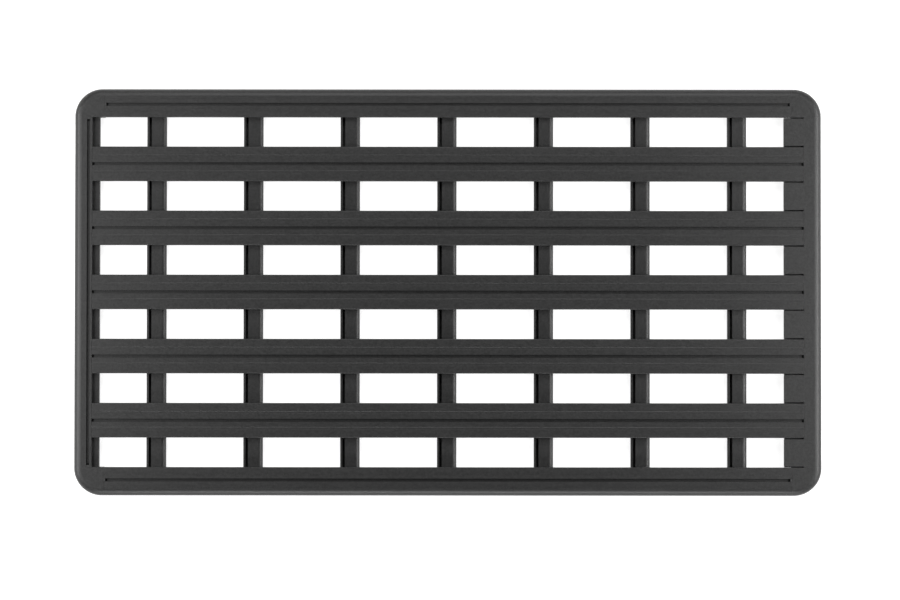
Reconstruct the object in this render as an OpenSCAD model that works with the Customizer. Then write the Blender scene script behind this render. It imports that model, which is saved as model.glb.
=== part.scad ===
// Flat platform roof rack: a rounded frame of hollow rails, five deck planks along it
// and seven crossbars under them.
// X runs from the rear to the front, Y to the left side, Z up.
// The origin is the centre of the face that the rack rests on.

/* [Overall] */
// Length over the end rails
rack_length = 2700; // [2400:10:3000]
// Width over the side rails
rack_width = 1470; // [1300:10:1600]

/* [Rails] */
// Width of a side rail, seen from above
side_rail_w = 103; // [90:1:125]
// Width of the hollow box along the outside of every rail
box_w = 41.5; // [36:0.5:50]
// Wall of the rails
rail_wall = 2; // [1.6:0.1:2.6]
// Radius of the soft outer edge on top
edge_r = 27; // [18:1:30]
// Radius of the outer edge below
foot_r = 8; // [4:0.5:10]
// Radius of the small edges
fine_r = 1.5; // [0.8:0.1:1.9]
// From the box of a side rail to the middle of its channel
side_channel_inset = 15.5; // [13:0.5:20]
// Strip between the rear channel and the plank ends
end_strip_w = 8; // [6.5:0.5:12]
// Reach of the rear ledge under the plank ends
rear_ledge = 25; // [15:1:40]

/* [Front tabs] */
// Reach of the tabs past the plank ends
tab_reach = 72.5; // [50:0.5:90]
// Reach of the front shelf under the plank ends
shelf_reach = 68.5; // [45:0.5:69]
// Thickness of a tab
tab_t = 3; // [2:0.1:4]
// Depth of the lip along the edge of a tab
tab_lip_h = 12; // [6:0.5:16]
// Gap beside a tab
tab_gap = 4.2; // [2:0.1:8]
// Radius of the corners of a tab
tab_corner_r = 4.5; // [2:0.5:8]

/* [Corners] */
// Straight part of a corner towards the side rail
corner_stub_side = 7.5; // [3:0.5:20]
// Straight part of a corner towards the end rail
corner_stub_end = 3; // [2:0.5:12]
// Wall of a corner casting
corner_wall = 4; // [3:0.5:6]
// Length of the tongues that enter the rails
tongue_len = 35; // [20:1:60]

/* [Planks] */
// Width of a plank
plank_w = 125; // [110:1:140]
// Thickness of a plank
plank_t = 22; // [20:0.5:28]
// Wall of a plank
plank_wall = 1.6; // [1.3:0.1:2]
// Radius of the long upper edges of a plank
plank_edge_r = 3.5; // [2:0.5:5]

/* [Shallow bands] */
// From the middle of a plank to its shallow bands
plank_band_in = 24; // [18:1:30]
// Width of a shallow band on a plank
plank_band_w = 9; // [6:0.5:12]
// From the channel of a side rail to its shallow bands
rail_band_in = 20; // [17:1:24]
// Width of a shallow band on a side rail
rail_band_w = 8; // [5:0.5:10]
// Depth of the shallow bands
band_depth = 0.6; // [0.3:0.1:0.8]

/* [Crossbars] */
// Width of a crossbar
bar_w = 70; // [64:1:85]
// Height of a crossbar
bar_h = 23; // [21:0.5:30]
// From an outer end of the rack to the middle of the nearest crossbar
bar_end_in = 300; // [250:1:340]
// Shift of the row of crossbars towards the rear
bar_shift = 4; // [0:1:20]
// Wall of a crossbar
bar_wall = 2; // [1.6:0.1:2.4]
// Width of the lip behind the groove
bar_lip_w = 8; // [7:0.5:12]
// Width of the groove
bar_groove_w = 9; // [6:0.5:12]
// Step from the top of a crossbar down to its lip
bar_lip_drop = 1.5; // [0.5:0.1:3]
// Radius of the front upper edge of a crossbar
bar_nose_r = 9; // [5:0.5:11]

/* [Channels] */
// Width of a channel's mouth
mouth_w = 11; // [8:0.5:12]
// Thickness of the lips beside the mouth
lip_t = 2.5; // [2:0.1:3]
// Width of a channel below its lips
channel_w = 20; // [17:0.5:24]
// Height of a channel below its lips
channel_h = 6; // [5:0.5:7]
// Length of a channel plug
plug_len = 7; // [4:0.5:20]
// Step from the deck down to a plug
plug_drop = 0.8; // [0.4:0.1:1.4]

/* [Outer recess] */
// Length of the bare recess in the outer face of an end rail
recess_len = 108; // [60:1:160]
// Depth of the recess
recess_depth = 1; // [0.5:0.1:1.2]
// From the middle of the rack to the middle of the recess
recess_at = 553; // [300:1:560]

/* [Clearances] */
// Gap at a seam between rail and corner
seam_gap = 0.3; // [0.1:0.1:0.6]
// Play of a tongue or plug in its hollow
fit_gap = 0.3; // [0.1:0.1:0.6]
// Gap at the rear end of a plank
plank_rear_gap = 0.3; // [0.1:0.1:0.8]
// Gap at the front end of a plank
plank_front_gap = 0.4; // [0.1:0.1:0.8]
// Gap between the end of a crossbar and the box of a side rail
bar_end_gap = 0.3; // [0.1:0.1:0.8]

/* [Hidden] */

$fn = 48;
// Cuts run this far past the faces that they open
past = 1;
planks = 5;
crossbars = 7;

rack_h = bar_h + plank_t;
half_l = rack_length / 2;
half_w = rack_width / 2;
channel_depth = lip_t + channel_h;

// Places across a side rail, from its outer face inwards
side_channel_at = box_w + side_channel_inset;

// Places across an end rail, from its outer face inwards
end_channel_at = box_w + channel_w / 2;
end_top_w = end_channel_at + mouth_w / 2 + end_strip_w;
tab_edge = end_top_w + tab_reach;
shelf_edge = end_top_w + shelf_reach;

// The corners meet the side rails and the end rails at these distances from the outer faces
corner_r = side_rail_w - corner_stub_end;
corner_len = corner_r + corner_stub_side;
side_rail_len = rack_length - 2 * corner_len - 2 * seam_gap;
end_rail_len = rack_width - 2 * side_rail_w - 2 * seam_gap;

plank_len = rack_length - 2 * end_top_w - plank_rear_gap - plank_front_gap;
plank_space = (rack_width - 2 * side_rail_w - planks * plank_w) / (planks + 1);
plank_pitch = plank_w + plank_space;
bar_len = rack_width - 2 * box_w - 2 * bar_end_gap;
bar_pitch = (rack_length - 2 * bar_end_in) / (crossbars - 1);
bar_box_in = bar_lip_w + bar_groove_w;
bar_channel_at = (bar_box_in + bar_w) / 2;

rail_colour = "#46484a";
plank_colour = "#3e4042";
bar_colour = "#383a3c";
plug_colour = "#2a2b2c";

// Extrudes an outline along X: its x becomes Y and its y becomes Z
module along_x(length) {
    rotate([90, 0, 90])
        linear_extrude(length) children();
}

// Extrudes an outline along Y: its x stays X and its y becomes Z
module along_y(length) {
    translate([0, length, 0])
        rotate([90, 0, 0])
            linear_extrude(length) children();
}

// A rectangle between two corners
module span(low, high) {
    translate(low) square(high - low);
}

// What comes off a square corner to leave a radius; inward points into the metal
module round_off(corner, inward, r) {
    centre = corner + inward * r;
    outer = corner - inward * past;
    difference() {
        span(
            [min(centre.x, outer.x), min(centre.y, outer.y)],
            [max(centre.x, outer.x), max(centre.y, outer.y)]
        );
        translate(centre) circle(r);
    }
}

// What comes off the top and bottom of a rail's outer face
module outer_edges() {
    round_off([0, rack_h], [1, -1], edge_r);
    round_off([0, 0], [1, 1], foot_r);
}

// The hollow of the outer box, smaller all round by inset
module box_hollow(inset = 0) {
    off = rail_wall + inset;
    difference() {
        span([off, off], [box_w - off, rack_h - off]);
        round_off([off, rack_h - off], [1, -1], edge_r - off);
        round_off([off, off], [1, 1], foot_r - off);
    }
}

// A channel that opens upwards, with the middle of its mouth at the origin
module channel() {
    span([-mouth_w / 2, -channel_depth], [mouth_w / 2, past]);
    span([-channel_w / 2, -channel_depth], [channel_w / 2, -lip_t]);
}

// Two shallow bands beside the middle of a flat face
module bands(inner, width) {
    for (side = [-1, 1])
        translate([side * (inner + width / 2), 0])
            square([width, 2 * band_depth], center = true);
}

// Section of a side rail: the outer box, and a flange over the crossbar ends
module side_rail_section() {
    flange_low = bar_h + rail_wall;
    channel_low = rack_h - channel_depth - rail_wall;
    channel_end = side_channel_at + channel_w / 2;
    difference() {
        union() {
            span([0, 0], [box_w, rack_h]);
            span([0, bar_h], [side_rail_w, rack_h]);
        }
        outer_edges();
        round_off([side_rail_w, rack_h], [-1, -1], fine_r);
        round_off([side_rail_w, bar_h], [-1, 1], fine_r);
        box_hollow();
        translate([side_channel_at, rack_h]) channel();
        translate([side_channel_at, rack_h]) bands(rail_band_in, rail_band_w);
        span([box_w, flange_low], [channel_end, channel_low]);
        span([channel_end + rail_wall, flange_low], [side_rail_w - rail_wall, rack_h - rail_wall]);
    }
}

// Section of the rear rail: the outer box, a channel, and a ledge for the plank ends
module rear_rail_section() {
    ledge_end = end_top_w + rear_ledge;
    channel_low = rack_h - channel_depth - rail_wall;
    difference() {
        union() {
            span([0, 0], [end_top_w, rack_h]);
            span([0, 0], [ledge_end, bar_h]);
        }
        outer_edges();
        round_off([end_top_w, rack_h], [-1, -1], fine_r);
        round_off([ledge_end, bar_h], [-1, -1], fine_r);
        round_off([ledge_end, 0], [-1, 1], fine_r);
        box_hollow();
        translate([end_channel_at, rack_h]) channel();
        span([box_w, bar_h], [end_top_w - rail_wall, channel_low]);
        span([box_w, rail_wall], [ledge_end - rail_wall, bar_h - rail_wall]);
    }
}

// Section of the front rail: the outer box, a shelf for the plank ends,
// and the flange that is cut into tabs
module front_rail_section() {
    mid_wall = end_top_w - rail_wall;
    difference() {
        union() {
            span([0, 0], [end_top_w, rack_h]);
            span([0, 0], [shelf_edge, bar_h]);
            span([0, rack_h - tab_t], [tab_edge, rack_h]);
            span([tab_edge - tab_t, rack_h - tab_lip_h], [tab_edge, rack_h]);
        }
        outer_edges();
        round_off([tab_edge, rack_h], [-1, -1], fine_r);
        round_off([shelf_edge, bar_h], [-1, -1], fine_r);
        round_off([shelf_edge, 0], [-1, 1], fine_r);
        box_hollow();
        span([box_w, bar_h], [mid_wall, rack_h - rail_wall]);
        span([box_w, rail_wall], [end_top_w, bar_h - rail_wall]);
        span([end_top_w + rail_wall, rail_wall], [shelf_edge - rail_wall, bar_h - rail_wall]);
    }
}

// Section of a plank, with the middle of its underside at the origin
module plank_section() {
    half = plank_w / 2;
    channel_wall = channel_w / 2 + plank_wall;
    web = plank_band_in + plank_band_w + plank_wall;
    top = plank_t - plank_wall;
    difference() {
        span([-half, 0], [half, plank_t]);
        for (side = [-1, 1]) {
            round_off([side * half, plank_t], [-side, -1], plank_edge_r);
            round_off([side * half, 0], [-side, 1], fine_r);
        }
        translate([0, plank_t]) channel();
        translate([0, plank_t]) bands(plank_band_in, plank_band_w);
        span([-channel_w / 2, plank_wall], [channel_w / 2, top - channel_depth]);
        for (side = [0, 1])
            mirror([side, 0]) {
                span([channel_wall, plank_wall], [web - plank_wall, top - band_depth]);
                difference() {
                    span([web, plank_wall], [half - plank_wall, top]);
                    round_off([half - plank_wall, top], [-1, -1], plank_edge_r - plank_wall);
                }
            }
    }
}

// Section of a crossbar from its rear edge forwards: a lip, a deep groove, and a box
// with a soft front edge and a channel below
module crossbar_section() {
    wall_in = bar_box_in + bar_wall;
    wall_out = bar_w - bar_wall;
    roof = bar_h - bar_wall;
    channel_low = bar_channel_at - channel_w / 2;
    channel_high = bar_channel_at + channel_w / 2;
    difference() {
        union() {
            span([0, 0], [bar_lip_w, bar_h - bar_lip_drop]);
            span([0, 0], [bar_w, bar_wall]);
            span([bar_box_in, 0], [bar_w, bar_h]);
        }
        round_off([0, bar_h - bar_lip_drop], [1, -1], fine_r);
        round_off([bar_w, bar_h], [-1, -1], bar_nose_r);
        round_off([bar_w, 0], [-1, 1], fine_r);
        span([bar_wall, bar_wall], [bar_lip_w - bar_wall, roof - bar_lip_drop]);
        translate([bar_channel_at, 0]) mirror([0, 1]) channel();
        span([wall_in, bar_wall], [channel_low - bar_wall, roof]);
        span([channel_low, channel_depth + bar_wall], [channel_high, roof]);
        difference() {
            span([channel_high + bar_wall, bar_wall], [wall_out, roof]);
            round_off([wall_out, roof], [-1, -1], bar_nose_r - bar_wall);
        }
    }
}

// Puts a piece that is drawn from the rear left outer corner inwards on one of four corners
module at_corner(front, right) {
    mirror([front, 0, 0])
        mirror([0, right, 0])
            translate([-half_l, half_w, 0])
                mirror([0, 1, 0]) children();
}

module side_rail(right) {
    color(rail_colour)
        at_corner(0, right)
            translate([corner_len + seam_gap, 0, 0])
                along_x(side_rail_len) side_rail_section();
}

// The shallow bare recess in the outer face of an end rail
module outer_recess(at) {
    translate([-past, at - recess_len / 2, -past])
        cube([recess_depth + past, recess_len, rack_h + 2 * past]);
}

module rear_rail() {
    color(rail_colour)
        translate([-half_l, 0, 0])
            difference() {
                translate([0, -end_rail_len / 2, 0])
                    along_y(end_rail_len) rear_rail_section();
                outer_recess(recess_at);
            }
}

// What is cut out of the front flange round a plank, with the corners of the tabs rounded
module plank_pocket(half) {
    reach = tab_reach + past;
    translate([end_top_w, -half, bar_h])
        cube([reach, 2 * half, plank_t + past]);
    for (side = [-1, 1])
        translate([0, side * half, bar_h])
            linear_extrude(plank_t + past)
                round_off([tab_edge, 0], [-1, side], tab_corner_r);
}

module front_rail() {
    color(rail_colour)
        mirror([1, 0, 0])
            translate([-half_l, 0, 0])
                difference() {
                    translate([0, -end_rail_len / 2, 0])
                        along_y(end_rail_len) front_rail_section();
                    for (i = [1:planks])
                        translate([0, plank_y(i), 0])
                            plank_pocket(plank_w / 2 + tab_gap);
                    for (side = [-1, 1])
                        translate([0, side * (half_w - side_rail_w), 0])
                            plank_pocket(tab_gap);
                    outer_recess(-recess_at);
                }
}

// Half section of a corner: flat on top, with the soft outer edge on the right
module corner_section(width, inset) {
    low = inset > 0 ? -past : 0;
    difference() {
        span([0, low], [width - inset, rack_h - inset]);
        round_off([width - inset, rack_h - inset], [-1, -1], edge_r - inset);
        if (inset == 0)
            round_off([width, 0], [-1, 1], foot_r);
    }
}

// The outer form of a corner, smaller outside and on top by inset
module corner_form(inset = 0) {
    // The revolved quarter round the outside of the frame
    translate([corner_r, corner_r, 0])
        rotate([0, 0, 180])
            rotate_extrude(angle = 90) corner_section(corner_r, inset);
    // The short straight parts up to the seams
    translate([corner_r, 0, 0])
        along_x(corner_stub_side)
            translate([side_rail_w, 0]) mirror([1, 0]) corner_section(side_rail_w, inset);
    translate([0, corner_r, 0])
        along_y(corner_stub_end)
            translate([corner_len, 0]) mirror([1, 0]) corner_section(corner_len, inset);
}

// The hollow below a corner, which stops a wall short of the seams
module corner_hollow() {
    intersection() {
        corner_form(corner_wall);
        translate([0, 0, -past])
            cube([corner_len - corner_wall, side_rail_w - corner_wall, rack_h]);
    }
}

// A hollow tongue that fills the outer box of a rail
module tongue_section() {
    difference() {
        box_hollow(fit_gap);
        box_hollow(fit_gap + corner_wall);
    }
}

module corner(front, right) {
    color(rail_colour)
        at_corner(front, right)
            union() {
                difference() {
                    corner_form();
                    corner_hollow();
                }
                translate([corner_len - past, 0, 0])
                    along_x(tongue_len + past) tongue_section();
                translate([0, side_rail_w - past, 0])
                    along_y(tongue_len + past) tongue_section();
            }
}

// Places of the planks across the deck, the first beside the left rail
function plank_y(i) = (planks + 1 - 2 * i) / 2 * plank_pitch;

module plank(i) {
    color(plank_colour)
        translate([-half_l + end_top_w + plank_rear_gap, plank_y(i), bar_h])
            along_x(plank_len) plank_section();
}

// Places of the rear edges of the crossbars, the first at the rear
function bar_x(i) = (2 * i - crossbars - 1) / 2 * bar_pitch - bar_shift - bar_w / 2;

module crossbar(i) {
    color(bar_colour)
        translate([bar_x(i), -bar_len / 2, 0])
            along_y(bar_len) crossbar_section();
}

// Section of a plug, with the middle of the channel's mouth at the origin
module plug_section() {
    neck = mouth_w / 2 - fit_gap;
    foot = channel_w / 2 - fit_gap;
    span([-neck, -channel_depth], [neck, -plug_drop]);
    span([-foot, -channel_depth], [foot, -lip_t - fit_gap]);
}

module side_channel_plugs() {
    color(plug_colour)
        for (front = [0, 1], right = [0, 1])
            at_corner(front, right)
                translate([corner_len + seam_gap, side_channel_at, rack_h])
                    along_x(plug_len) plug_section();
}

module rear_channel_plugs() {
    color(plug_colour)
        for (right = [0, 1])
            at_corner(0, right)
                translate([end_channel_at, side_rail_w + seam_gap, rack_h])
                    along_y(plug_len) plug_section();
}

side_rail(0);  // side_rail_left
side_rail(1);  // side_rail_right
rear_rail();
front_rail();
corner(0, 0);  // corner_rear_left
corner(0, 1);  // corner_rear_right
corner(1, 0);  // corner_front_left
corner(1, 1);  // corner_front_right
plank(1);  // plank_1
plank(2);  // plank_2
plank(3);  // plank_3
plank(4);  // plank_4
plank(5);  // plank_5
crossbar(1);  // crossbar_1
crossbar(2);  // crossbar_2
crossbar(3);  // crossbar_3
crossbar(4);  // crossbar_4
crossbar(5);  // crossbar_5
crossbar(6);  // crossbar_6
crossbar(7);  // crossbar_7
side_channel_plugs();
rear_channel_plugs();
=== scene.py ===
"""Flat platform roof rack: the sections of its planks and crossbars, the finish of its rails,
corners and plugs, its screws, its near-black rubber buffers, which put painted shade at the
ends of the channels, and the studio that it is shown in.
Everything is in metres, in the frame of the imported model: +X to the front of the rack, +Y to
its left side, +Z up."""
import math

import bmesh
import bpy
from mathutils import Matrix, Vector


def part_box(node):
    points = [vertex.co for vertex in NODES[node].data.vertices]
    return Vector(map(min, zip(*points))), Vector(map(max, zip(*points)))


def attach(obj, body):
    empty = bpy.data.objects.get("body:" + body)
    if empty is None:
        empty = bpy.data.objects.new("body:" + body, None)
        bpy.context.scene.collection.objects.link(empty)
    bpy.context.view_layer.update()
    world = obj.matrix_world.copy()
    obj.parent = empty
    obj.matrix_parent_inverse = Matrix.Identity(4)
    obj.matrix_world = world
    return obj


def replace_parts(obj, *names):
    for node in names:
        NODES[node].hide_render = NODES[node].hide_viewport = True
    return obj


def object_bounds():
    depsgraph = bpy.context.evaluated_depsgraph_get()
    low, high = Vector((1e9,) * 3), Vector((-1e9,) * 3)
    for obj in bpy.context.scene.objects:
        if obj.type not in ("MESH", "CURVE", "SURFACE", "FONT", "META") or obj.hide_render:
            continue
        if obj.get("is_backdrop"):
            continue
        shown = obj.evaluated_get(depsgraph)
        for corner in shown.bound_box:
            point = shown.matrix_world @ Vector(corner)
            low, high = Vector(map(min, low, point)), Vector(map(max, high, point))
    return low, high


bl_info = {
    "name": "Flat Platform Roof Rack",
    "version": (1, 0, 0),
    "blender": (4, 5, 0),
    "location": "View3D > Sidebar > Roof Rack",
    "description": "Sections, coat, buffers, screws and studio for a slotted platform rack",
    "category": "Object",
}

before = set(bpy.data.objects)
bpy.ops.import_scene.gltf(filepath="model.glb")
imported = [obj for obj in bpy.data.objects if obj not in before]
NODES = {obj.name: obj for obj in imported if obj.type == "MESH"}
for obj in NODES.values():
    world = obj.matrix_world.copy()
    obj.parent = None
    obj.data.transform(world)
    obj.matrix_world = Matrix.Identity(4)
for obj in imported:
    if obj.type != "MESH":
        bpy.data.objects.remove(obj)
PLANKS = sorted(n for n in NODES if n.startswith("plank_"))
CROSSBARS = sorted(n for n in NODES if n.startswith("crossbar_"))
RAILS = sorted(n for n in NODES if n.endswith("_rail") or n.startswith("side_rail"))
CORNERS = sorted(n for n in NODES if n.startswith("corner_"))
PLUGS = sorted(n for n in NODES if n.endswith("_plugs"))

MM = 0.001
# The channels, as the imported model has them: their mouths, their widths below the lips, the
# lips, and their depths
CHANNEL_MOUTH = 11 * MM
CHANNEL_WIDTH = 20 * MM
CHANNEL_LIP = 2.5 * MM
CHANNEL_ROOF = 8.5 * MM
# From a crossbar's front edge to the middle of the channel below it
CHANNEL_IN = 26.5 * MM
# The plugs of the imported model: their length and their play in the channel
PLUG_LENGTH = 7 * MM
PLUG_PLAY = 0.3 * MM
# The rounding of a buffer's edges
BUFFER_EDGE = 0.4 * MM
# The screws: their lengths, how far their heads stand out of the countersinks, and the
# distance from a side rail's inner edge to its screws, which enter the cell beside its channel
PLANK_SCREW_LENGTH = 20 * MM
RAIL_SCREW_LENGTH = 18 * MM
HEAD_PROUD = 0.3 * MM
RAIL_SCREW_IN = 18 * MM
# The floor's reach from the middle, and its gap below the rack, which keeps the two apart
FLOOR_REACH = 60.0
FLOOR_GAP = 0.2 * MM


def linear(code):
    """The linear colour of an sRGB hex code."""
    channels = [int(code[i:i + 2], 16) / 255 for i in (1, 3, 5)]
    return [c / 12.92 if c <= 0.04045 else ((c + 0.055) / 1.055) ** 2.4 for c in channels]


# Sizes and colours that a user would change

class CoatSettings(bpy.types.PropertyGroup):
    """Finish of the powder-coated aluminium."""

    rail_colour: bpy.props.FloatVectorProperty(
        name="Rail colour", description="Coat of the rails and corners",
        subtype="COLOR", size=3, min=0, max=1, default=linear("#282828"))
    plank_colour: bpy.props.FloatVectorProperty(
        name="Plank colour", description="Coat of the deck planks",
        subtype="COLOR", size=3, min=0, max=1, default=linear("#272727"))
    crossbar_colour: bpy.props.FloatVectorProperty(
        name="Crossbar colour", description="Coat of the crossbars",
        subtype="COLOR", size=3, min=0, max=1, default=linear("#262626"))
    roughness: bpy.props.FloatProperty(
        name="Roughness", description="Roughness of the satin coat",
        subtype="FACTOR", min=0, max=1, default=0.42)
    grit: bpy.props.FloatProperty(
        name="Grit", description="Spacing of the fine texture in the coat",
        subtype="DISTANCE", unit="LENGTH", min=0.1 * MM, max=5 * MM, default=0.8 * MM)


class PlugSettings(bpy.types.PropertyGroup):
    """Finish of the moulded plugs, and of the near-black rubber buffers beside them and in the
    planks, which put painted shade at the ends of the channels.
    """

    colour: bpy.props.FloatVectorProperty(
        name="Plug colour", description="Moulded nylon of the plugs",
        subtype="COLOR", size=3, min=0, max=1, default=linear("#222222"))
    buffer_length: bpy.props.FloatProperty(
        name="Buffer length", description="Rubber buffer at the end of a channel, along it",
        subtype="DISTANCE", unit="LENGTH", min=3 * MM, max=12 * MM, default=6.5 * MM)
    buffer_height: bpy.props.FloatProperty(
        name="Buffer height", description="Height of a rubber buffer on the channel's floor",
        subtype="DISTANCE", unit="LENGTH", min=0.8 * MM, max=5 * MM, default=1.5 * MM)
    # Near-black of the buffers: painted shade at the channel ends, where the end walls shade the
    # floor
    buffer_shade_colour: bpy.props.FloatVectorProperty(
        name="Rubber colour", description="Black rubber of the buffers",
        subtype="COLOR", size=3, min=0, max=1, default=linear("#0e0e0e"))


class PlankSettings(bpy.types.PropertyGroup):
    """Section of the planks: soft long edges, and a shallow band on each side of the channel."""

    edge_radius: bpy.props.FloatProperty(
        name="Edge radius", description="Radius of the long upper edges",
        subtype="DISTANCE", unit="LENGTH", min=2 * MM, max=5 * MM, default=3.5 * MM)
    foot_radius: bpy.props.FloatProperty(
        name="Foot radius", description="Radius of the long lower edges",
        subtype="DISTANCE", unit="LENGTH", min=0.5 * MM, max=3 * MM, default=1.5 * MM)
    band_in: bpy.props.FloatProperty(
        name="Band distance", description="From the middle of a plank to its shallow bands",
        subtype="DISTANCE", unit="LENGTH", min=18 * MM, max=30 * MM, default=24 * MM)
    band_width: bpy.props.FloatProperty(
        name="Band width", description="Width of a shallow band",
        subtype="DISTANCE", unit="LENGTH", min=6 * MM, max=12 * MM, default=9 * MM)
    band_depth: bpy.props.FloatProperty(
        name="Band depth", description="Depth of the shallow bands",
        subtype="DISTANCE", unit="LENGTH", min=0.3 * MM, max=1 * MM, default=0.6 * MM)
    band_slope: bpy.props.FloatProperty(
        name="Band slope", description="Width of the slope along each side of a band",
        subtype="DISTANCE", unit="LENGTH", min=0.2 * MM, max=2 * MM, default=0.9 * MM)


class CrossbarSettings(bpy.types.PropertyGroup):
    """Section of the crossbars: a lip, a deep groove and a box with a soft front edge."""

    nose_radius: bpy.props.FloatProperty(
        name="Nose radius", description="Radius of the front upper edge",
        subtype="DISTANCE", unit="LENGTH", min=5 * MM, max=18 * MM, default=16 * MM)
    edge_radius: bpy.props.FloatProperty(
        name="Edge radius", description="Radius of the small edges",
        subtype="DISTANCE", unit="LENGTH", min=0.5 * MM, max=2 * MM, default=1.5 * MM)
    lip_width: bpy.props.FloatProperty(
        name="Lip width", description="Lip behind the groove",
        subtype="DISTANCE", unit="LENGTH", min=5 * MM, max=12 * MM, default=8 * MM)
    lip_drop: bpy.props.FloatProperty(
        name="Lip drop", description="Step from the top of a crossbar down to its lip",
        subtype="DISTANCE", unit="LENGTH", min=0.5 * MM, max=3 * MM, default=1.5 * MM)
    groove_width: bpy.props.FloatProperty(
        name="Groove width", description="Groove between the lip and the box",
        subtype="DISTANCE", unit="LENGTH", min=6 * MM, max=12 * MM, default=9 * MM)
    floor: bpy.props.FloatProperty(
        name="Groove floor", description="Metal left below the groove",
        subtype="DISTANCE", unit="LENGTH", min=1.6 * MM, max=3 * MM, default=2 * MM)


class ScrewSettings(bpy.types.PropertyGroup):
    """Sizes of the screws on the underside."""

    head_diameter: bpy.props.FloatProperty(
        name="Head diameter", description="Across a countersunk head",
        subtype="DISTANCE", unit="LENGTH", min=5 * MM, max=11 * MM, default=10 * MM)
    shank_diameter: bpy.props.FloatProperty(
        name="Shank diameter", description="Across the thread",
        subtype="DISTANCE", unit="LENGTH", min=3 * MM, max=6 * MM, default=5 * MM)
    socket_width: bpy.props.FloatProperty(
        name="Socket width", description="Across the flats of the hexagon socket",
        subtype="DISTANCE", unit="LENGTH", min=2 * MM, max=5 * MM, default=3 * MM)
    spread: bpy.props.FloatProperty(
        name="Spread", description="From the middle of a plank to its screws",
        subtype="DISTANCE", unit="LENGTH", min=13 * MM, max=32 * MM, default=22 * MM)
    colour: bpy.props.FloatVectorProperty(
        name="Steel colour", description="Stainless steel of the screws",
        subtype="COLOR", size=3, min=0, max=1, default=linear("#b4b2ae"))


class StudioSettings(bpy.types.PropertyGroup):
    """Camera, floor and lights."""

    camera_distance: bpy.props.FloatProperty(
        name="Camera distance", description="From the camera to the deck",
        subtype="DISTANCE", unit="LENGTH", min=3, max=40, default=10)
    camera_lens: bpy.props.FloatProperty(
        name="Lens", description="Focal length for a 36 mm sensor",
        subtype="DISTANCE_CAMERA", unit="CAMERA", min=20, max=400, default=110.85)
    camera_tilt: bpy.props.FloatProperty(
        name="Tilt", description="Tilt of the camera from straight down",
        subtype="ANGLE", unit="ROTATION", min=-0.5, max=0.5, default=math.radians(1.1))
    floor_colour: bpy.props.FloatVectorProperty(
        name="Floor colour", description="What the floor gives back of the light on it",
        subtype="COLOR", size=3, min=0, max=1, default=linear("#9c9c9c"))
    front_high: bpy.props.FloatProperty(
        name="High front light", description="Softbox high beyond the front end",
        subtype="POWER", unit="POWER", min=0, max=2000, default=45)
    front_strip: bpy.props.FloatProperty(
        name="Front strip", description="Strip light low beyond the front end",
        subtype="POWER", unit="POWER", min=0, max=2000, default=86)
    rear_high: bpy.props.FloatProperty(
        name="High rear light", description="Softbox high beyond the rear end",
        subtype="POWER", unit="POWER", min=0, max=2000, default=48)
    rear_strip: bpy.props.FloatProperty(
        name="Rear strip", description="Strip light low beyond the rear end",
        subtype="POWER", unit="POWER", min=0, max=2000, default=69)
    left_high: bpy.props.FloatProperty(
        name="High left light", description="Softbox high on the left side of the rack",
        subtype="POWER", unit="POWER", min=0, max=2000, default=64)
    left_strip: bpy.props.FloatProperty(
        name="Left strip", description="Strip light low on the left side of the rack",
        subtype="POWER", unit="POWER", min=0, max=2000, default=16)
    right_strip: bpy.props.FloatProperty(
        name="Right strip", description="Strip light low on the right side of the rack",
        subtype="POWER", unit="POWER", min=0, max=2000, default=86)
    below: bpy.props.FloatProperty(
        name="Light below", description="Softbox under the floor, for the underside alone",
        subtype="POWER", unit="POWER", min=0, max=2000, default=60)


SETTINGS = {
    "rack_coat": CoatSettings,
    "rack_planks": PlankSettings,
    "rack_crossbars": CrossbarSettings,
    "rack_plugs": PlugSettings,
    "rack_screws": ScrewSettings,
    "rack_studio": StudioSettings,
}


# Materials

def add(tree, kind, inputs=None, **settings):
    """Adds a node with its settings. An input is a value, or the socket that feeds it."""
    made = tree.nodes.new(kind)
    for key, value in settings.items():
        setattr(made, key, value)
    for key, value in (inputs or {}).items():
        if isinstance(value, bpy.types.NodeSocket):
            tree.links.new(value, made.inputs[key])
        else:
            made.inputs[key].default_value = value
    return made


def rgba(colour):
    return (*colour, 1.0)


def new_material(name):
    """A material with an empty tree."""
    material = bpy.data.materials.new(name)
    material.use_nodes = True
    material.node_tree.nodes.clear()
    return material, material.node_tree


def noise(tree, spacing, detail=2.0, roughness=0.5):
    """A noise pattern fixed to the object, with its spacing in metres."""
    place = add(tree, "ShaderNodeTexCoord").outputs["Object"]
    return add(tree, "ShaderNodeTexNoise", {
        "Vector": place, "Scale": 1 / spacing, "Detail": detail,
        "Roughness": roughness}).outputs["Fac"]


def varied_colour(tree, colour, patterns):
    """The colour, made lighter and darker by patterns of (socket, share of the colour)."""
    result = None
    for pattern, share in patterns:
        factor = add(tree, "ShaderNodeMapRange", {
            "Value": pattern, "From Min": 0.3, "From Max": 0.7,
            "To Min": 1 - share, "To Max": 1 + share}, clamp=True).outputs["Result"]
        if result is None:
            result = factor
        else:
            result = add(tree, "ShaderNodeMath", {0: result, 1: factor},
                         operation="MULTIPLY").outputs[0]
    return add(tree, "ShaderNodeMix", {6: rgba(colour), 7: result, 0: 1.0},
               data_type="RGBA", blend_type="MULTIPLY").outputs[2]


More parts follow.
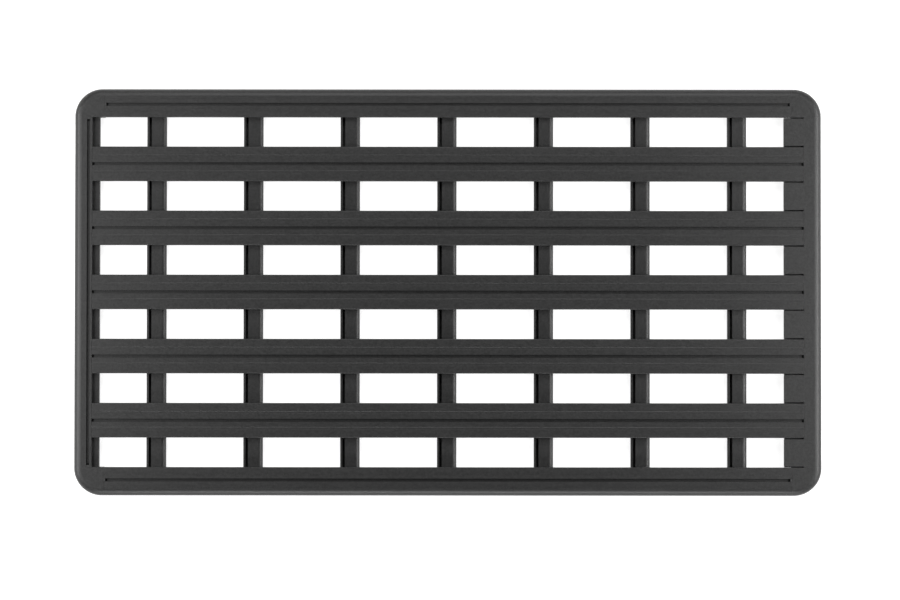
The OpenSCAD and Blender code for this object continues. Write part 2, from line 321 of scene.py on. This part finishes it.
def powder_coat(name, colour, settings):
    """Polyester powder coat with a fine texture, sprayed on and baked: a satin black with a
    soft, wide sheen, and grit that breaks the light up into a faint grain."""
    material, tree = new_material(name)
    # The real grit is too fine to show from this far, so it is also drawn at 7 mm
    shown = noise(tree, 7 * MM, detail=1.5, roughness=0.6)
    grit = noise(tree, settings.grit)
    # Slight changes of thickness from pass to pass of the spray gun, about 150 mm apart
    cloud = noise(tree, 150 * MM)
    base = varied_colour(tree, colour, [(shown, 0.22), (grit, 0.25), (cloud, 0.03)])
    rough = add(tree, "ShaderNodeMapRange", {
        "Value": shown, "To Min": settings.roughness - 0.06,
        "To Max": settings.roughness + 0.06}).outputs["Result"]
    waves = add(tree, "ShaderNodeBump", {
        "Height": shown, "Distance": 0.3 * MM, "Strength": 0.8}).outputs["Normal"]
    bumps = add(tree, "ShaderNodeBump", {
        "Height": grit, "Distance": 0.08 * MM, "Strength": 0.8,
        "Normal": waves}).outputs["Normal"]
    shader = add(tree, "ShaderNodeBsdfPrincipled", {
        "Base Color": base, "Roughness": rough, "Normal": bumps,
        "IOR": 1.5, "Specular IOR Level": 0.35}).outputs["BSDF"]
    add(tree, "ShaderNodeOutputMaterial", {"Surface": shader})
    return material


def moulded_nylon(colour):
    """Injection-moulded nylon with a spark-eroded texture: darker and duller than the coat,
    with an even fine grain."""
    material, tree = new_material("moulded_nylon")
    # Grain of the mould, about 0.5 mm
    grain = noise(tree, 0.5 * MM)
    base = varied_colour(tree, colour, [(grain, 0.08)])
    rough = add(tree, "ShaderNodeMapRange", {
        "Value": grain, "To Min": 0.58, "To Max": 0.7}).outputs["Result"]
    bumps = add(tree, "ShaderNodeBump", {
        "Height": grain, "Distance": 0.03 * MM, "Strength": 0.7}).outputs["Normal"]
    shader = add(tree, "ShaderNodeBsdfPrincipled", {
        "Base Color": base, "Roughness": rough, "Normal": bumps, "IOR": 1.53}).outputs["BSDF"]
    add(tree, "ShaderNodeOutputMaterial", {"Surface": shader})
    return material


def black_rubber(colour):
    """Moulded black rubber, kept near-black as painted shade at the ends of the channels: the
    darkest and dullest thing on the rack, with a faint bloom.
    """
    material, tree = new_material("black_rubber")
    # Patches of bloom, about 2 mm
    bloom = noise(tree, 2 * MM)
    base = varied_colour(tree, colour, [(bloom, 0.15)])
    rough = add(tree, "ShaderNodeMapRange", {
        "Value": bloom, "To Min": 0.75, "To Max": 0.9}).outputs["Result"]
    shader = add(tree, "ShaderNodeBsdfPrincipled", {
        "Base Color": base, "Roughness": rough,
        "Specular IOR Level": 0.2}).outputs["BSDF"]
    add(tree, "ShaderNodeOutputMaterial", {"Surface": shader})
    return material


def stainless_steel(colour):
    """Cold-headed and tumbled stainless steel: a soft grey metal with small dents that blur
    its reflections unevenly."""
    material, tree = new_material("tumbled_stainless_steel")
    # Dents from tumbling, about 0.7 mm apart
    dents = noise(tree, 0.7 * MM, detail=3.0)
    base = varied_colour(tree, colour, [(dents, 0.05)])
    rough = add(tree, "ShaderNodeMapRange", {
        "Value": dents, "To Min": 0.28, "To Max": 0.42}).outputs["Result"]
    bumps = add(tree, "ShaderNodeBump", {
        "Height": dents, "Distance": 0.02 * MM, "Strength": 0.5}).outputs["Normal"]
    shader = add(tree, "ShaderNodeBsdfPrincipled", {
        "Base Color": base, "Roughness": rough, "Normal": bumps,
        "Metallic": 1.0}).outputs["BSDF"]
    add(tree, "ShaderNodeOutputMaterial", {"Surface": shader})
    return material


def background_rays(tree):
    """1 for the rays that show the background: from the camera, in reflections and through
    clear things. 0 for the rays that gather light."""
    path = add(tree, "ShaderNodeLightPath").outputs
    seen = add(tree, "ShaderNodeMath", {
        0: path["Is Camera Ray"], 1: path["Is Glossy Ray"]}, operation="MAXIMUM").outputs[0]
    return add(tree, "ShaderNodeMath", {
        0: seen, 1: path["Is Transmission Ray"]}, operation="MAXIMUM").outputs[0]


# Light that the floor adds to its own where it is seen: together they make white
FLOOR_LIFT = 0.86


def white_floor(colour):
    """Matt painted floor: white to the camera and in reflections, with the rack's shadow kept.
    Seen from below it isn't there, and the light below passes it, so the underside shows."""
    material, tree = new_material("matt_white_floor")
    path = add(tree, "ShaderNodeLightPath").outputs
    lift = add(tree, "ShaderNodeMath", {
        0: background_rays(tree), 1: FLOOR_LIFT}, operation="MULTIPLY").outputs[0]
    paint = add(tree, "ShaderNodeBsdfDiffuse", {"Color": rgba(colour)}).outputs[0]
    glow = add(tree, "ShaderNodeEmission", {"Strength": lift}).outputs[0]
    lit = add(tree, "ShaderNodeAddShader", {0: paint, 1: glow}).outputs[0]
    behind = add(tree, "ShaderNodeNewGeometry").outputs["Backfacing"]
    gone = add(tree, "ShaderNodeMath", {
        0: behind, 1: path["Is Shadow Ray"]}, operation="MAXIMUM").outputs[0]
    clear = add(tree, "ShaderNodeBsdfTransparent").outputs[0]
    shader = add(tree, "ShaderNodeMixShader", {0: gone, 1: lit, 2: clear}).outputs[0]
    add(tree, "ShaderNodeOutputMaterial", {"Surface": shader})
    return material


def coat(names, material):
    """Gives CAD nodes a material."""
    for name in names:
        for slot in NODES[name].material_slots:
            slot.material = material


# Pieces

def new_piece(name, bm, material):
    """Turns a bmesh into a piece of the rack, with sharp edges kept sharp."""
    bmesh.ops.recalc_face_normals(bm, faces=bm.faces)
    mesh = bpy.data.meshes.new(name)
    bm.to_mesh(mesh)
    bm.free()
    mesh.shade_smooth()
    mesh.set_sharp_from_angle(angle=math.radians(30))
    mesh.materials.append(material)
    piece = bpy.data.objects.new(name, mesh)
    bpy.context.scene.collection.objects.link(piece)
    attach(piece, "root")
    return piece


def arc(centre, radius, start, end, steps):
    """Points of an arc between two angles in degrees, both ends included."""
    angles = [math.radians(start + (end - start) * i / steps) for i in range(steps + 1)]
    return [(centre[0] + radius * math.cos(a), centre[1] + radius * math.sin(a)) for a in angles]


def channel_outline():
    """Half-open outline of a channel, from one edge of its mouth to the other, with the depth
    as its second value."""
    mouth = CHANNEL_MOUTH / 2
    side = CHANNEL_WIDTH / 2
    half = [(mouth, 0), (mouth, CHANNEL_LIP), (side, CHANNEL_LIP), (side, CHANNEL_ROOF)]
    return half + [(-x, depth) for x, depth in reversed(half)]


def plank_outline(settings, width, height):
    """Outline of a plank's section about its middle, from its underside over the top."""
    half = width / 2
    foot = settings.foot_radius
    edge = settings.edge_radius
    outer = settings.band_in + settings.band_width
    slope = settings.band_slope
    band = height - settings.band_depth
    left = (
        arc((-half + foot, foot), foot, 270, 180, 4)
        + arc((-half + edge, height - edge), edge, 180, 90, 8)
        + [(-outer, height), (-outer + slope, band)]
        + [(-settings.band_in - slope, band), (-settings.band_in, height)]
    )
    channel = [(-x, height - depth) for x, depth in channel_outline()]
    return left + channel + [(-x, z) for x, z in reversed(left)]


def crossbar_outline(settings, width, height):
    """Outline of a crossbar's section, from the rear end of its underside over the top."""
    fine = settings.edge_radius
    nose = settings.nose_radius
    lip_top = height - settings.lip_drop
    box_rear = settings.lip_width + settings.groove_width
    middle = width - CHANNEL_IN
    return (
        [(0, 0)]
        + arc((fine, lip_top - fine), fine, 180, 90, 4)
        + [(settings.lip_width, lip_top), (settings.lip_width, settings.floor)]
        + [(box_rear, settings.floor), (box_rear, height), (width - nose - fine, height)]
        + arc((width - nose, height - nose), nose, 90, 0, 20)
        + arc((width - fine, fine), fine, 0, -90, 4)
        + [(middle + x, depth) for x, depth in channel_outline()]
    )


def block(bm, centre, size, edge):
    """Adds a block with rounded edges."""
    made = bmesh.ops.create_cube(bm, matrix=Matrix.LocRotScale(centre, None, size))
    edges = list({e for v in made["verts"] for e in v.link_edges})
    bmesh.ops.bevel(bm, geom=edges, offset=edge, segments=2, profile=0.5, affect="EDGES",
                    material=-1)


def extrude_cap(bm, cap):
    """Extrudes a cap in place and gives the new one. The old one stays only where it closes
    the other end."""
    made = bmesh.ops.extrude_face_region(bm, geom=[cap])["geom"]
    if any(len(edge.link_faces) > 2 for edge in cap.edges):
        bm.faces.remove(cap)
    return next(g for g in made if isinstance(g, bmesh.types.BMFace))


def extrude_node(node, corners, reach, material):
    """Replaces a CAD node by an outline that is extruded over the node's whole length."""
    bm = bmesh.new()
    end = extrude_cap(bm, bm.faces.new([bm.verts.new(corner) for corner in corners]))
    bmesh.ops.translate(bm, vec=reach, verts=end.verts)
    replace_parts(new_piece(f"extruded_{node}", bm, material), node)


def grow(bm, cap, radius, rise):
    """Extrudes a round cap to a new radius, further along Z by rise, and gives the new cap."""
    top = extrude_cap(bm, cap)
    centre = top.calc_center_median()
    share = radius / (top.verts[0].co - centre).length
    bmesh.ops.scale(bm, vec=(share, share, 1), space=Matrix.Translation(-centre), verts=top.verts)
    bmesh.ops.translate(bm, vec=(0, 0, rise), verts=top.verts)
    return top


def make_hexagon(cap, across):
    """Moves the corners of a round cap out to a hexagon, across its flats."""
    centre = cap.calc_center_median()
    sixth = math.radians(60)
    for vert in cap.verts:
        arm = vert.co - centre
        off_flat = (math.atan2(arm.y, arm.x) + 1e-9) % sixth - sixth / 2
        vert.co = centre + arm.normalized() * (across / 2 / math.cos(off_flat))


def screw_mesh(settings, length):
    """A countersunk screw with a hexagon socket. Its head ends at z = 0 and faces +Z."""
    head = settings.head_diameter / 2
    shank = settings.shank_diameter / 2
    rim = 0.3 * MM
    edge = 0.15 * MM
    cone = head - shank
    bm = bmesh.new()
    made = bmesh.ops.create_circle(bm, cap_ends=True, segments=24, radius=shank - edge,
                                   matrix=Matrix.Translation((0, 0, -length)))
    cap = made["verts"][0].link_faces[0]
    cap = grow(bm, cap, shank, edge)
    cap = grow(bm, cap, shank, length - edge - cone - rim)
    cap = grow(bm, cap, head, cone)
    cap = grow(bm, cap, head, rim - edge)
    cap = grow(bm, cap, head - edge, edge)
    cap = grow(bm, cap, settings.socket_width / 2, 0)
    make_hexagon(cap, settings.socket_width)
    floor = extrude_cap(bm, cap)
    socket_depth = 0.6 * settings.socket_width
    bmesh.ops.translate(bm, vec=(0, 0, -socket_depth), verts=floor.verts)
    mesh = bpy.data.meshes.new("screw_pattern")
    bm.to_mesh(mesh)
    bm.free()
    return mesh


def bar_screws(name, length, rows):
    """One piece with a screw in the lower channel of every crossbar, at each y in the rows."""
    settings = bpy.context.scene.rack_screws
    pattern = screw_mesh(settings, length)
    face_down = Matrix.Rotation(math.pi, 4, "X")
    bm = bmesh.new()
    for bar in CROSSBARS:
        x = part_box(bar)[1].x - CHANNEL_IN
        for y in rows:
            spot = Vector((x, y, CHANNEL_ROOF - HEAD_PROUD))
            first = len(bm.verts)
            bm.from_mesh(pattern)
            bm.verts.ensure_lookup_table()
            bmesh.ops.transform(bm, matrix=Matrix.Translation(spot) @ face_down,
                                verts=bm.verts[first:])
    bpy.data.meshes.remove(pattern)
    # All screws share one steel
    steel = (bpy.data.materials.get("tumbled_stainless_steel")
             or stainless_steel(settings.colour))
    new_piece(name, bm, steel)


class RACK_OT_coat_frame(bpy.types.Operator):
    """Powder-coat the rails and corners"""

    bl_idname = "rack.coat_frame"
    bl_label = "Coat rails and corners"

    def execute(self, context):
        settings = context.scene.rack_coat
        material = powder_coat("powder_coat_rails", settings.rail_colour, settings)
        coat(RAILS + CORNERS, material)
        return {"FINISHED"}


class RACK_OT_planks(bpy.types.Operator):
    """Extrude and powder-coat the deck planks"""

    bl_idname = "rack.planks"
    bl_label = "Planks"

    def execute(self, context):
        paint = context.scene.rack_coat
        settings = context.scene.rack_planks
        material = powder_coat("powder_coat_planks", paint.plank_colour, paint)
        for name in PLANKS:
            low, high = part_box(name)
            size = high - low
            middle = (low.y + high.y) / 2
            corners = [(low.x, middle + y, low.z + z)
                       for y, z in plank_outline(settings, size.y, size.z)]
            extrude_node(name, corners, (size.x, 0, 0), material)
        return {"FINISHED"}


class RACK_OT_crossbars(bpy.types.Operator):
    """Extrude and powder-coat the crossbars"""

    bl_idname = "rack.crossbars"
    bl_label = "Crossbars"

    def execute(self, context):
        paint = context.scene.rack_coat
        settings = context.scene.rack_crossbars
        material = powder_coat("powder_coat_crossbars", paint.crossbar_colour, paint)
        for name in CROSSBARS:
            low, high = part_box(name)
            size = high - low
            corners = [(low.x + x, low.y, low.z + z)
                       for x, z in crossbar_outline(settings, size.x, size.z)]
            extrude_node(name, corners, (0, size.y, 0), material)
        return {"FINISHED"}


class RACK_OT_mould_plugs(bpy.types.Operator):
    """Give the channel plugs their moulded finish"""

    bl_idname = "rack.mould_plugs"
    bl_label = "Mould plugs"

    def execute(self, context):
        coat(PLUGS, moulded_nylon(context.scene.rack_plugs.colour))
        return {"FINISHED"}


class RACK_OT_channel_end_shade_buffers(bpy.types.Operator):
    """Lay a small near-black rubber buffer on the floor of a channel, at each of its ends, as
    painted shade where the end walls shade the floor
    """

    bl_idname = "rack.channel_buffers"
    bl_label = "Channel buffers"

    def execute(self, context):
        settings = context.scene.rack_plugs
        length, height = settings.buffer_length, settings.buffer_height
        width = CHANNEL_MOUTH - 2 * PLUG_PLAY
        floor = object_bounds()[1][2] - CHANNEL_ROOF
        along_x = []
        for plank in PLANKS:
            low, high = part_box(plank)
            along_x += [(x, (low.y + high.y) / 2)
                        for x in (low.x + length / 2, high.x - length / 2)]
        low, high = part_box("side_channel_plugs")
        row = high.y + PLUG_PLAY - CHANNEL_WIDTH / 2
        inset = PLUG_LENGTH + length / 2
        along_x += [(x, y) for x in (low.x + inset, high.x - inset) for y in (-row, row)]
        low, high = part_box("rear_channel_plugs")
        along_y = [((low.x + high.x) / 2, y) for y in (low.y + inset, high.y - inset)]
        bm = bmesh.new()
        for places, size in ((along_x, (length, width, height)),
                             (along_y, (width, length, height))):
            for x, y in places:
                block(bm, Vector((x, y, floor + height / 2)), Vector(size), BUFFER_EDGE)
        # The near-black rubber here is painted shade at the ends of the channels
        new_piece("channel_buffers", bm, black_rubber(settings.buffer_shade_colour))
        return {"FINISHED"}


class RACK_OT_plank_screws(bpy.types.Operator):
    """Put two screws through each crossbar into each plank, from its channel below"""

    bl_idname = "rack.plank_screws"
    bl_label = "Plank screws"

    def execute(self, context):
        spread = context.scene.rack_screws.spread
        rows = []
        for plank in PLANKS:
            low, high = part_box(plank)
            rows += [(low.y + high.y) / 2 + side * spread for side in (-1, 1)]
        bar_screws("plank_screws", PLANK_SCREW_LENGTH, rows)
        return {"FINISHED"}


class RACK_OT_rail_screws(bpy.types.Operator):
    """Put one screw through each end of each crossbar into the flange of the side rail"""

    bl_idname = "rack.rail_screws"
    bl_label = "Side rail screws"

    def execute(self, context):
        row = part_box("side_rail_left")[0].y + RAIL_SCREW_IN
        bar_screws("side_rail_screws", RAIL_SCREW_LENGTH, (-row, row))
        return {"FINISHED"}


# Studio

def look_at(place, target):
    """A turn that points an object's -Z from its place to the target."""
    return (Vector(target) - Vector(place)).to_track_quat("-Z", "Y").to_matrix().to_4x4()


def softbox(name, place, target, size, power):
    """An area light that the camera doesn't see."""
    lamp = bpy.data.lights.new(name, "AREA")
    lamp.shape = "RECTANGLE"
    lamp.size, lamp.size_y = size
    lamp.energy = power
    light = bpy.data.objects.new(name, lamp)
    light.matrix_world = Matrix.Translation(place) @ look_at(place, target)
    light.visible_camera = False
    bpy.context.scene.collection.objects.link(light)


# The softboxes: the setting that gives the power, the place, and the width and height
SOFTBOXES = (
    ("front_high", (2.6, 0, 2.3), (2.2, 1.4)),
    ("front_strip", (3.4, 0, 1.25), (3.0, 0.5)),
    ("rear_high", (-2.6, 0, 2.3), (2.2, 1.4)),
    ("rear_strip", (-3.4, 0, 1.25), (3.0, 0.5)),
    ("left_high", (0, 2.4, 2.6), (4.0, 1.2)),
    ("left_strip", (0, 3.0, 1.4), (4.0, 0.6)),
    ("right_strip", (0, -3.0, 1.2), (4.0, 0.6)),
    ("below", (0, 0, -3.0), (3.2, 2.2)),
)


def studio_lights(settings):
    """Softboxes round the rack and below it, and none straight above: the deck stays dark and
    even, and the rounded edges catch soft lines of light."""
    deck = (0, 0, 0.04)
    for name, place, size in SOFTBOXES:
        softbox(f"light_{name}", place, deck, size, getattr(settings, name))


def studio_world():
    """White behind the floor. The studio is dark above the lights: a reflection finds the white
    in a low band round the horizon alone."""
    world = bpy.data.worlds.new("studio_world")
    world.use_nodes = True
    tree = world.node_tree
    tree.nodes.clear()
    height = add(tree, "ShaderNodeSeparateXYZ", {
        0: add(tree, "ShaderNodeTexCoord").outputs["Generated"]}).outputs["Z"]
    # From the top of the white backdrop, 6 degrees up, to where the dark begins at 14
    backdrop = add(tree, "ShaderNodeMapRange", {
        "Value": height, "From Min": math.sin(math.radians(6)),
        "From Max": math.sin(math.radians(14)), "To Min": 1.0, "To Max": 0.0},
        clamp=True).outputs["Result"]
    path = add(tree, "ShaderNodeLightPath").outputs
    direct = add(tree, "ShaderNodeMath", {
        0: path["Is Camera Ray"], 1: path["Is Transmission Ray"]},
        operation="MAXIMUM").outputs[0]
    reflected = add(tree, "ShaderNodeMath", {
        0: path["Is Glossy Ray"], 1: backdrop}, operation="MULTIPLY").outputs[0]
    strength = add(tree, "ShaderNodeMath", {
        0: direct, 1: reflected}, operation="MAXIMUM").outputs[0]
    glow = add(tree, "ShaderNodeBackground", {
        "Color": (1, 1, 1, 1), "Strength": strength}).outputs[0]
    add(tree, "ShaderNodeOutputWorld", {"Surface": glow})
    bpy.context.scene.world = world


def studio_floor(settings):
    """A large flat floor just under the rack."""
    bm = bmesh.new()
    bmesh.ops.create_grid(bm, x_segments=1, y_segments=1, size=FLOOR_REACH,
                          matrix=Matrix.Translation((0, 0, -FLOOR_GAP)))
    mesh = bpy.data.meshes.new("floor")
    bm.to_mesh(mesh)
    bm.free()
    mesh.materials.append(white_floor(settings.floor_colour))
    floor = bpy.data.objects.new("floor", mesh)
    bpy.context.scene.collection.objects.link(floor)
    floor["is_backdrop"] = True


def studio_camera(settings):
    """The camera of the photograph: almost straight down, with the rack's left side up."""
    # Where the camera's axis meets the deck, and the slight turn of the picture
    aim = Vector((7.6 * MM, -28.5 * MM, 45 * MM))
    turn = math.radians(0.05)
    tilt = settings.camera_tilt
    back = Vector((0, -math.sin(tilt), math.cos(tilt)))
    data = bpy.data.cameras.new("camera")
    data.sensor_width = 36
    data.lens = settings.camera_lens
    data.clip_end = 200
    camera = bpy.data.objects.new("camera", data)
    spot = aim + back * settings.camera_distance
    camera.matrix_world = (Matrix.Translation(spot) @ Matrix.Rotation(tilt, 4, "X")
                           @ Matrix.Rotation(turn, 4, "Z"))
    bpy.context.scene.collection.objects.link(camera)
    bpy.context.scene.camera = camera


class RACK_OT_studio(bpy.types.Operator):
    """Set up the pale floor, the soft lights and the camera"""

    bl_idname = "rack.studio"
    bl_label = "Studio"

    def execute(self, context):
        settings = context.scene.rack_studio
        studio_floor(settings)
        studio_world()
        studio_lights(settings)
        studio_camera(settings)
        context.scene.view_settings.view_transform = "Standard"
        return {"FINISHED"}


OPERATORS = (
    RACK_OT_coat_frame,
    RACK_OT_planks,
    RACK_OT_crossbars,
    RACK_OT_mould_plugs,
    RACK_OT_channel_end_shade_buffers,
    RACK_OT_plank_screws,
    RACK_OT_rail_screws,
    RACK_OT_studio,
)


class RACK_PT_panel(bpy.types.Panel):
    """Lists the rack's settings and steps"""

    bl_idname = "RACK_PT_panel"
    bl_label = "Roof Rack"
    bl_space_type = "VIEW_3D"
    bl_region_type = "UI"
    bl_category = "Roof Rack"

    def draw(self, context):
        for name in SETTINGS:
            box = self.layout.box()
            group = getattr(context.scene, name)
            for prop in group.bl_rna.properties:
                if prop.identifier not in ("rna_type", "name"):
                    box.prop(group, prop.identifier)
        for operator in OPERATORS:
            self.layout.operator(operator.bl_idname)


def register():
    for name, group in SETTINGS.items():
        bpy.utils.register_class(group)
        setattr(bpy.types.Scene, name, bpy.props.PointerProperty(type=group))
    for operator in OPERATORS:
        bpy.utils.register_class(operator)
    bpy.utils.register_class(RACK_PT_panel)


def unregister():
    bpy.utils.unregister_class(RACK_PT_panel)
    for operator in reversed(OPERATORS):
        bpy.utils.unregister_class(operator)
    for name, group in reversed(SETTINGS.items()):
        delattr(bpy.types.Scene, name)
        bpy.utils.unregister_class(group)


def main():
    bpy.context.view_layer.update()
    register()
    bpy.ops.rack.coat_frame()
    bpy.ops.rack.planks()
    bpy.ops.rack.crossbars()
    bpy.ops.rack.mould_plugs()
    bpy.ops.rack.channel_buffers()
    bpy.ops.rack.plank_screws()
    bpy.ops.rack.rail_screws()
    bpy.ops.rack.studio()


if __name__ == "__main__":
    main()
